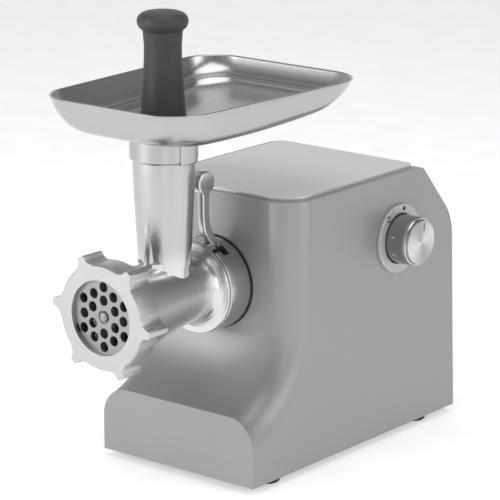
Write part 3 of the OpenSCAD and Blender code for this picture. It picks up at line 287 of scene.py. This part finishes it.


# %% [markdown]
# ## Sunray disc
# The disc in the knob is brushed outwards from its middle, and its highlights show as pale wedges that meet at the
# centre. Here those wedges are a painted highlight in the base colour. The angle round the centre comes from the arc
# tangent of the two sideways distances. A sine of that angle, with noise, draws the painted highlight wedges in the
# base colour. The pointer is a short dark stroke of paint, so it belongs in the colour too: a box of four straight
# edges, each a comparison.

# %% Sunray disc with painted highlights, and its pointer
def sunray_painted_highlight(name, centre, stroke_at=(3 * MM, 11.5 * MM), stroke_half=(0.6 * MM, 3.1 * MM)):
    f = Finish(name, metallic=0.85)
    _, back, up = f.axes(f.place)
    angle = f.maths("ARCTAN2", up - centre.z, back - centre.y)
    fine = f.noise_along(angle * 30.0, 1.0)
    # painted highlight: pale wedges in the base colour stand in for the highlights of the brushed disc
    painted_highlight_wedges = 0.5 + 0.36 * f.maths("SINE", angle * 2.0 + 0.9) + 0.3 * (fine - 0.5)
    metal = f.between(painted_highlight_wedges, (0.34, 0.34, 0.345), (0.74, 0.74, 0.75))
    side = f.maths("ABSOLUTE", back - (centre.y + stroke_at[0]))
    height = f.maths("ABSOLUTE", up - (centre.z + stroke_at[1]))
    stroke = f.maths("LESS_THAN", side, stroke_half[0]) * f.maths("LESS_THAN", height, stroke_half[1])
    f.feed("Base Color", f.between(stroke, metal, (0.05, 0.05, 0.052)))
    f.feed("Roughness", 0.3 + 0.12 * fine)
    f.bump(fine, 0.00002)
    return f.material


# %% [markdown]
# ## Plastic, rubber, wire and board
# Moulded plastic has a fine even grain, and rubber a coarser and duller one. They differ only in numbers, so one
# recipe serves them all. Enamelled wire is drawn as lines round the coil, and the motor's iron as the edges of
# stacked sheets: both are a wave texture, diagonal or straight.

# %% Plastics and rubber
def moulded(name, tone, rough=0.45, grain=0.00004, size=1300.0, coat=0.0, **same):
    f = Finish(name, coat_weight=coat, coat_roughness=0.15, **same)
    fine, cloud = f.noise(size), f.noise(22.0)
    f.feed("Base Color", f.between(0.5 * fine + 0.5 * cloud, darker(tone, 0.82), darker(tone, 1.12)))
    f.feed("Roughness", rough + 0.1 * fine + 0.06 * cloud)
    f.bump(fine, grain)
    return f.material


def wound_wire(name, tone):
    f = Finish(name, metallic=0.8, coat_weight=0.6, coat_roughness=0.2)
    wires = f.node("ShaderNodeTexWave", {"bands_direction": "DIAGONAL"}, Vector=f.place, Scale=420.0, Distortion=1.2)
    f.feed("Base Color", f.between(wires, darker(tone, 0.45), tone))
    f.feed("Roughness", 0.3 + 0.2 * wires)
    f.bump(wires, 0.00025)
    return f.material


def laminated(name, tone=(0.3, 0.3, 0.31)):
    f = Finish(name, metallic=0.9)
    sheets = f.node("ShaderNodeTexWave", {"bands_direction": "Y"}, Vector=f.place, Scale=320.0, Distortion=0.2)
    f.feed("Base Color", f.between(sheets, darker(tone, 0.5), tone))
    f.feed("Roughness", 0.42 + 0.15 * f.noise(300.0))
    f.bump(sheets, 0.00012)
    return f.material


# %% [markdown]
# ## The shelf of finishes
# A workshop keeps a few finishes ready and uses each on many parts. Here every material slot of the record has one
# on the shelf. Making a material for each part would work too, but the parts would drift apart in tone.

# %% The shelf of finishes, one for each slot of the record
shelf = {
    "body_paint": silver_paint("silver_paint"),
    "brushed_top": brushed_metal("brushed_top", "y", (0.86, 0.86, 0.865), 0.42, 0.00001),
    "polished_cast": polished_metal("polished_casting", (0.62, 0.62, 0.63), 0.2),
    "satin_cast": cast_metal("satin_casting", (0.57, 0.57, 0.58), 0.32),
    "steel": polished_metal("machined_steel", (0.55, 0.55, 0.57), 0.28),
    "plate_steel": turned_metal("turned_plate", barrel, (1, 0, 1), (0.36, 0.36, 0.37), 0.38),
    "chrome_trim": polished_metal("bright_trim", (0.66, 0.66, 0.67), 0.2, 0.00003),
    "bright_sheet": polished_metal("bright_sheet", (0.5, 0.5, 0.505), 0.2, 0.00003),
    "rubber": moulded("black_rubber", (0.012, 0.012, 0.012), 0.62, 0.0001, 700.0),
    "black_plastic": moulded("black_plastic", (0.015, 0.015, 0.016), 0.4),
    "dark_plastic": moulded("dark_plastic", (0.045, 0.045, 0.047), 0.42),
    "knob_plastic": moulded("knob_plastic", (0.16, 0.16, 0.165), 0.2, 0.00001, coat=0.5),
    "nylon": moulded("natural_nylon", (0.78, 0.74, 0.62), 0.45),
    "board": moulded("board_lacquer", (0.03, 0.16, 0.07), 0.3, 0.00006, 500.0, 0.4),
    "copper": wound_wire("enamelled_wire", (0.72, 0.3, 0.12)),
    "bronze": cast_metal("sintered_bronze", (0.62, 0.42, 0.2), 0.4),
    "lamination": laminated("stacked_sheet"),
    "carbon": moulded("carbon", (0.03, 0.03, 0.032), 0.5, 0.00006),
}
print(len(shelf), "finishes")

# %% [markdown]
# ## Dress every part
# The record says which slot each part takes its finish from. The part keeps its mesh, and only its material slots
# change. A few parts look different from the others in their slot: the knob's disc is brushed in rays with painted
# highlights, the head casting's painted brightness fades upwards, the bezel is satin, and the knife and auger, deep in
# the barrel, are painted dark as painted shade. The stud in the middle of the cutting plate is turned as the plate is.

# %% Give each part its finish
slot_of = {s["node"]: s["material_slot"] for s in frame["record"]["subparts"]}
# painted shade: the knife and auger are made dark for the shade deep inside the barrel
painted_shade_steel = cast_metal("painted_shade_steel", (0.16, 0.16, 0.165), 0.5)
special = {
    "knob_disc": sunray_painted_highlight("disc_painted_highlight", dial),
    "head_casting": painted_sheen_casting("head_casting_painted_sheen", barrel.z + 26 * MM, barrel.z + 40 * MM),
    "dial_bezel": moulded("satin_bezel", (0.52, 0.52, 0.525), 0.4, 0.00001, metallic=0.45),
    "knife": painted_shade_steel,
    "auger": painted_shade_steel,
    "auger_stud": shelf["plate_steel"],
}
for name, part in nodes.items():
    for slot in part.material_slots:
        slot.material = special.get(name, shelf[slot_of[name]])
print("dressed", len(nodes), "parts,", len(special), "of them specially")

# %% [markdown]
# ## Soft edges
# Real edges are never perfectly sharp: a thin bright line of reflection runs along each of them. A bevel modifier
# makes that line. It needs a clean mesh, so the split vertices are welded first and flat triangles are dissolved
# into one face.

# %% Bevels on the CAD parts
def soften(name, width):
    part = nodes[name]
    weld = part.modifiers.new("weld", "WELD")
    weld.merge_threshold = 0.00001
    clean = part.modifiers.new("clean", "DECIMATE")
    clean.decimate_type = "DISSOLVE"
    clean.angle_limit = math.radians(0.4)
    bevel = part.modifiers.new("bevel", "BEVEL")
    bevel.width = width
    bevel.segments = 3
    bevel.limit_method = "ANGLE"
    bevel.angle_limit = math.radians(30)
    bevel.harden_normals = True


edge_widths = {"housing": 3.2 * MM, "ring_nut": 1.4 * MM, "outlet_collar": 0.5 * MM, "top_plate": 0.5 * MM,
               "cutting_plate": 0.25 * MM, "rear_cover": 0.4 * MM, "dial_bezel": 0.25 * MM}
for name, width in edge_widths.items():
    soften(name, width)
print("softened", len(edge_widths), "parts")

# %% [markdown]
# ## Mesh tools
# Two ways of making a skin cover all the pieces below. A loft joins rings that have the same number of points, and
# a lathe turns an outline round an axis, which is a loft whose rings are circles.

# %% Loft
def add_piece(name, points, faces, finish, smooth=35):
    mesh = bpy.data.meshes.new(name)
    mesh.from_pydata([tuple(p) for p in points], [], faces)
    mesh.validate()
    mesh.shade_smooth()
    mesh.set_sharp_from_angle(angle=math.radians(smooth))
    mesh.materials.append(finish)
    piece = bpy.data.objects.new(name, mesh)
    bpy.context.scene.collection.objects.link(piece)
    print(name, len(points), "points", len(faces), "faces")
    return piece


def loft(name, rings, finish, ends=(False, False), closed=True, loop=False, smooth=35):
    """A skin over rings. closed joins each ring's ends, and loop joins the last ring to the first."""
    count, faces = len(rings[0]), []
    last = len(rings) if loop else len(rings) - 1
    for r in range(last):
        for i in range(count if closed else count - 1):
            a, b = r * count + i, r * count + (i + 1) % count
            up = ((r + 1) % len(rings) - r) * count
            faces.append((a, b, b + up, a + up))
    if ends[0]:
        faces.append(tuple(range(count))[::-1])
    if ends[1]:
        faces.append(tuple((len(rings) - 1) * count + i for i in range(count)))
    return add_piece(name, [p for ring in rings for p in ring], faces, finish, smooth)


# %% Arc and lathe
def arc(centre, radius, start, end, steps):
    """Points on a circle from one angle to another, in degrees, in the plane of the outline."""
    return [(centre[0] + radius * math.cos(math.radians(start + (end - start) * i / steps)),
             centre[1] + radius * math.sin(math.radians(start + (end - start) * i / steps)))
            for i in range(steps + 1)]


def lathe(name, outline, centre, axis, finish, ends=(True, True), steps=96):
    """Turns (radius, height) pairs round an axis: "x" outwards or "y" backwards."""
    rings = []
    for radius, height in outline:
        ring = []
        for i in range(steps):
            a = 2 * math.pi * i / steps
            c, s = radius * math.cos(a), radius * math.sin(a)
            ring.append({"x": (centre[0] + height, centre[1] + c, centre[2] + s),
                         "y": (centre[0] + s, centre[1] + height, centre[2] + c)}[axis])
        rings.append(ring)
    return loft(name, rings, finish, ends)


# %% [markdown]
# ## The tray's outline
# Seen from above the tray is a trapezium with round corners, wider at the rear. Each level of its wall is the same
# outline moved inwards. The floor sags towards the feed tube, so food slides to it: the lower a level is, the more
# its height follows the square of the distance from the tube.

# %% Tray outline
low_tray, high_tray = corners("tray")
under, rim = low_tray.z, high_tray.z
front_half_w, rear_half_w = 70 * MM, high_tray.x
corner_r, corner_steps, side_steps = 30 * MM, 14, 8
sag_rise, sag_reach, sag_fade = 0.5, 1.25, 1.1


def tray_ring(inset, up, rounder=0.0):
    """The outline moved inwards by inset, at a height above the tray's underside, with its corners rounder."""
    r = corner_r + rounder
    front, rear = (front_half_w - r, low_tray.y + r), (rear_half_w - r, high_tray.y - r)
    tilt = math.degrees(math.atan2(rear[0] - front[0], rear[1] - front[1]))
    half = arc(front, r - inset, -90, -tilt, corner_steps)
    turn = arc(rear, r - inset, -tilt, 90, corner_steps)
    (x0, y0), (x1, y1) = half[-1], turn[0]
    half += [(x0 + (x1 - x0) * k / side_steps, y0 + (y1 - y0) * k / side_steps) for k in range(1, side_steps)] + turn
    share = min(1.0, max(0.0, sag_reach * (1 - up / (rim - under)))) ** sag_fade
    return [Vector((x, y, under + up + sag_rise * share * (y - tube.y) ** 2))
            for x, y in half + [(-x, y) for x, y in reversed(half)]]


def hole_ring(radius, up):
    """A circle round the feed tube's axis, whose points face those of the outline."""
    ring = []
    for p in tray_ring(25 * MM, up, 20 * MM):
        way = Vector((p.x - tube.x, p.y - tube.y, 0)).normalized()
        ring.append(Vector((tube.x, tube.y, under + up)) + way * radius)
    return ring


print("tray", round((high_tray.y - low_tray.y) / MM), "mm long,", round(2 * rear_half_w / MM), "mm wide")

# %% [markdown]
# ## The tray's section
# The tray is drawn from thin bright sheet. Its rim is rolled into a bead, its foot is a wide curve, and a low step
# runs round its floor. A solid with a rounded foot would need a fillet tool. Here one section is swept round the
# outline instead: each pair below is how far inside the outline, and how high, that line runs.

# %% Tray section and skin
hole_r, sheet = 17.2 * MM, 1.2 * MM
foot_extra, foot_top = 20 * MM, 20
# pairs of inset and height, in millimetres: up the outside, over the bead and down the inside
outside = [(40, 0.0), (30, 0.1), (23, 0.4), (17.5, 1.1), (13.4, 2.3), (10.4, 4.0), (8.2, 6.4), (6.7, 9.4), (5.3, 13.4),
           (3.5, 19.0), (1.2, 26.2), (0.35, 27.4)]
bead = [(0.0, 28.05), (0.15, 28.45), (0.8, 28.7), (1.5, 28.55), (1.95, 28.0), (2.15, 27.2)]
inside = [(3.9, 21.0), (5.7, 15.0), (7.2, 11.6), (8.8, 9.6), (11.4, 8.6), (14.0, 8.2), (15.0, 7.8), (15.6, 7.0),
          (16.1, 5.2), (17.2, 3.9), (19.0, 3.1), (24, 2.1), (30, 1.5), (40, 1.2)]


def foot_share(up):
    """How much rounder the corners are at a height in millimetres: most at the floor, nothing at the foot's top."""
    return foot_extra * max(0.0, 1 - up / foot_top) ** 1.5


rings = [hole_ring(hole_r, 0.0)]
rings += [tray_ring(inset * MM, up * MM, foot_share(up)) for inset, up in outside + bead + inside]
rings.append(hole_ring(hole_r, sheet))
tray = loft("tray_sheet", rings, shelf["bright_sheet"], loop=True, smooth=50)
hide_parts("tray")
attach(tray, "feed_tray")

# %% [markdown]
# ## The lock lever's arm
# The lever is a flat bright arm that leaves a slot in the collar, bends forwards and then runs straight up. It could
# be a bent box, but its width changes on the way. It is lofted along a line of places, each with its own width, and
# the corners of its section are rounded.

# %% Lever arm
low_lever, high_lever = corners("lock_lever")
arm_x0, arm_x1 = 4.4 * MM, 10 * MM


def arm_section(y, z, way, width, x0, x1, r=1.1 * MM):
    """A rounded rectangle across the arm: x is its thickness, and way its direction in the Y-Z plane."""
    across = Vector((0, way[1], -way[0])).normalized()
    points = []
    for sx, sy, start in ((1, 1, 0), (-1, 1, 90), (-1, -1, 180), (1, -1, 270)):
        cx = (x0 + x1) / 2 + sx * ((x1 - x0) / 2 - r)
        cw = sy * (width / 2 - r)
        for x, w in arc((cx, cw), r, start, start + 90, 4):
            points.append(Vector((x, y, z)) + across * w)
    return points


# y, height and width in millimetres, from the pad down; the barrel's axis is at a height of 136 in this list
arm_line = [(-22.0, 214.0, 10.5), (-22.1, 210.0, 8.6), (-22.2, 206.0, 7.6), (-22.3, 200.0, 7.2), (-22.3, 193.0, 7.2),
            (-22.0, 188.5, 7.3), (-21.3, 184.0, 7.4), (-20.0, 180.0, 7.4), (-18.0, 176.6, 7.3), (-16.0, 174.0, 7.0),
            (-14.4, 171.0, 6.6), (-13.7, 168.0, 6.4), (-13.7, 162.0, 6.4)]
list_zero = barrel.z - 136 * MM
rings = []
for i, (y, z, width) in enumerate(arm_line):
    before, after = arm_line[max(i - 1, 0)], arm_line[min(i + 1, len(arm_line) - 1)]
    way = (after[0] - before[0], after[1] - before[1])
    rings.append(arm_section(y * MM, z * MM + list_zero, way, width * MM, arm_x0, arm_x1))
arm = loft("lever_arm", rings, shelf["chrome_trim"], (True, True), smooth=40)

# %% [markdown]
# ## The lever's pad and ring
# The thumb pad is a thick round button with soft edges, and the lever ends in a ring inside the collar, which shows
# only as a shadow in the slot. Both are round about an axis, so a lathe is the short way to make them. They lie
# where the solid has them.

# %% Lever pad and inner ring
nearly_nothing = 0.001 * MM
pad_r, pad_edge, pad_x0, pad_x1 = 9 * MM, 1.4 * MM, 1.7 * MM, 10.5 * MM
pad_centre = (0, low_lever.y + pad_r, high_lever.z - pad_r)
pad_outline = ([(nearly_nothing, pad_x0)] + arc((pad_r - pad_edge, pad_x0 + pad_edge), pad_edge, -90, 0, 5)
               + arc((pad_r - pad_edge, pad_x1 - pad_edge), pad_edge, 0, 90, 5) + [(nearly_nothing, pad_x1)])
thumb = lathe("lever_pad", pad_outline, pad_centre, "x", shelf["chrome_trim"])

ring_out, ring_in, ring_deep, ring_edge, ring_y = 30.9 * MM, 27.7 * MM, 6.6 * MM, 0.3 * MM, -17.2 * MM
ring_outline = [(ring_in, 0), (ring_out - ring_edge, 0), (ring_out, ring_edge), (ring_out, ring_deep - ring_edge),
                (ring_out - ring_edge, ring_deep), (ring_in, ring_deep), (ring_in, 0)]
slot_dark = moulded("slot_shadow", (0.012, 0.012, 0.013), 0.5)
band = lathe("lever_ring", ring_outline, (barrel.x, ring_y, barrel.z), "y", slot_dark, ends=(False, False))
for piece in (arm, thumb, band):
    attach(piece, "lever")
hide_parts("lock_lever")

# %% [markdown]
# ## Marks of the dial
# The bezel carries a round mark for off and a loop of two arrows for reverse. These are thin raised pads rather than
# painted texture, so they keep their edges from any distance. The arrows are drawn generic: an arc with a triangular
# head, twice.

# %% Marks on the bezel
bezel_x = corners("dial_bezel")[1].x
mark_black = moulded("mark_black", (0.01, 0.01, 0.01), 0.4)
mark_sink, mark_thick = 0.02 * MM, 0.12 * MM
line_half_w, head_half_w, head_turn = 0.42, 1.25, 38


def bezel_mark(name, outline):
    """A pad on the bezel; its outline is in (along Y, up) pairs of millimetres round the dial's axis."""
    x = bezel_x - mark_sink
    rings = [[Vector((x + h, dial.y + y * MM, dial.z + z * MM)) for y, z in outline] for h in (0, mark_thick)]
    piece = loft(name, rings, mark_black, (True, True))
    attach(piece, "casing")


def arrow(centre, radius, start, end):
    """An arc with a triangular head, as one outline."""
    outer, inner = arc(centre, radius + line_half_w, start, end, 8), arc(centre, radius - line_half_w, end, start, 8)
    tip = arc(centre, radius, end + head_turn, end, 1)[0]
    wide, narrow = arc(centre, radius + head_half_w, end, end, 1)[0], arc(centre, radius - head_half_w, end, end, 1)[0]
    return outer + [wide, tip, narrow] + inner


bezel_mark("mark_off", arc((4.4, 22.8), 1.8, 0, 345, 23))
for k, start in enumerate((20, 200)):
    bezel_mark(f"mark_reverse_{k}", arrow((-15.2, 17.7), 2.1, start, start + 105))

# %% [markdown]
# ## Ticks on the knob
# Two pale ticks lie on the knob's side. They follow the knob's round side, so each is a short curved strip that lies
# just above it, and turns with it.

# %% Ticks on the knob's side
pale_mark = moulded("pale_mark", (0.6, 0.6, 0.6), 0.35)
low_knob, high_knob = corners("knob_body")
tick_r = (high_knob.z - low_knob.z) / 2 + 0.02 * MM
tick_from, tick_to, tick_half_turn = 6 * MM, 9 * MM, 1.2
for k, turn in enumerate((-152, -196)):
    line = arc((0, 0), tick_r, turn - tick_half_turn, turn + tick_half_turn, 4)
    rings = [[Vector((low_knob.x + x, dial.y + y, dial.z + z)) for y, z in line] for x in (tick_from, tick_to)]
    tick = loft(f"knob_tick_{k}", rings, pale_mark, closed=False)
    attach(tick, "knob")

# %% [markdown]
# ## The floor
# The grinder stands on a plain pale sheet. Under soft lamps a sheet is darker far from them, so it glows a little
# and stays even. It mirrors nothing, because a reflection of the grinder would compete with its shadow.

# %% Floor
floor_half = 6
floor_finish = moulded("pale_floor", (0.9, 0.9, 0.9), 0.7, 0.000002, 20.0, emission_color=(1, 1, 1, 1),
                       emission_strength=0.45, specular_ior_level=0.0)
floor_corners = [(x * floor_half, y * floor_half, 0) for x, y in ((-1, -1), (1, -1), (1, 1), (-1, 1))]
add_piece("stage_floor", floor_corners, [(0, 1, 2, 3)], floor_finish)

# %% [markdown]
# ## The sky
# Metal looks like what it mirrors. A studio sets tall bright and dark screens round a shiny thing, and they draw the
# bands on its polished parts. Screens as objects would cast shadows and get in the way of other views, so they are
# painted on the sky: one ramp of greys by bearing, times one by height.

# %% Sky
world = bpy.data.worlds.new("studio")
bpy.context.scene.world = world
world.use_nodes = True
sky = Graph(world.node_tree)
way_x, way_y, way_z = sky.axes(sky.node("ShaderNodeTexCoord", out="Generated"))


def sky_tones(value, tones):
    """A colour ramp of greys."""
    return sky.node("ShaderNodeValToRGB", {"stops": [(position, (tone,) * 3) for position, tone in tones]}, i0=value)


# round the horizon: 0 and 1 face -X, 0.25 faces -Y, 0.5 faces +X and 0.75 faces +Y
around = sky.maths("ARCTAN2", way_y, way_x) / (2 * math.pi) + 0.5
turn_tones = [(0.0, 0.62), (0.07, 0.7), (0.15, 0.9), (0.24, 0.78), (0.31, 0.65), (0.335, 0.42), (0.37, 0.4),
              (0.4, 0.6), (0.46, 0.8), (0.53, 0.86), (0.58, 0.8), (0.61, 0.28), (0.66, 0.24), (0.69, 0.5), (0.76, 0.55),
              (0.8, 0.85), (0.88, 1.0), (1.0, 0.62)]
# from straight down at 0 to straight up at 1
up_tones = [(0.0, 1.0), (0.5, 1.0), (0.62, 0.95), (0.72, 0.7), (0.85, 0.42), (1.0, 0.34)]
sky_light = sky_tones(around, turn_tones) * sky_tones(way_z * 0.5 + 0.5, up_tones)
background = sky.tree.nodes["Background"]
sky.tree.links.new(sky_light.out, background.inputs["Color"])
background.inputs["Strength"].default_value = 1.0
print(len(turn_tones), "tones round the horizon,", len(up_tones), "upwards")

# %% [markdown]
# ## The lamps
# Large soft lamps shape the body: the sky alone would light it evenly and flatten it. An area lamp's size sets how
# soft its shadow is, so all of them are wide, except one narrow strip at the corner that draws a line
# of light down rounded edges.

# %% Lamps
def lamp(name, place, aim, size, power):
    data = bpy.data.lights.new(name, "AREA")
    data.shape = "RECTANGLE"
    data.size, data.size_y, data.energy = size[0], size[1], power
    holder = bpy.data.objects.new(name, data)
    holder.location = place
    holder.rotation_euler = (Vector(aim) - Vector(place)).to_track_quat("-Z", "Y").to_euler()
    bpy.context.scene.collection.objects.link(holder)
    print(name, power, "watts")


lamp("top_lamp", (0.1, 0.0, 1.6), (0, 0, 0.1), (1.2, 1.2), 9)
lamp("right_lamp", (1.7, 0.3, 0.9), (0, 0.05, 0.15), (0.9, 1.3), 7)
lamp("corner_lamp", (1.5, -1.5, 0.5), (0, 0, 0.12), (0.2, 1.1), 2.5)
lamp("front_lamp", (-0.9, -1.7, 0.7), (0, 0, 0.15), (0.8, 1.2), 14)

# %% [markdown]
# ## The camera
# The camera stands two metres away, ahead of the outlet and on the dial's side, and looks slightly down. A long lens
# from far off keeps upright edges nearly parallel, as a maker's catalogue does.

# %% Camera
eye = Vector((1.2147, -1.4578, 0.6765))
look = Vector((-0.60800, 0.75004, -0.26030))
camera_data = bpy.data.cameras.new("camera")
camera_data.sensor_width = 36
camera_data.lens = 189.8
camera_data.clip_end = 50
camera = bpy.data.objects.new("camera", camera_data)
camera.location = eye
camera.rotation_euler = look.to_track_quat("-Z", "Y").to_euler()
bpy.context.scene.collection.objects.link(camera)
bpy.context.scene.camera = camera
bpy.context.scene.view_settings.view_transform = "Standard"
print("camera", round(eye.length, 2), "m from the origin, lens", camera_data.lens)
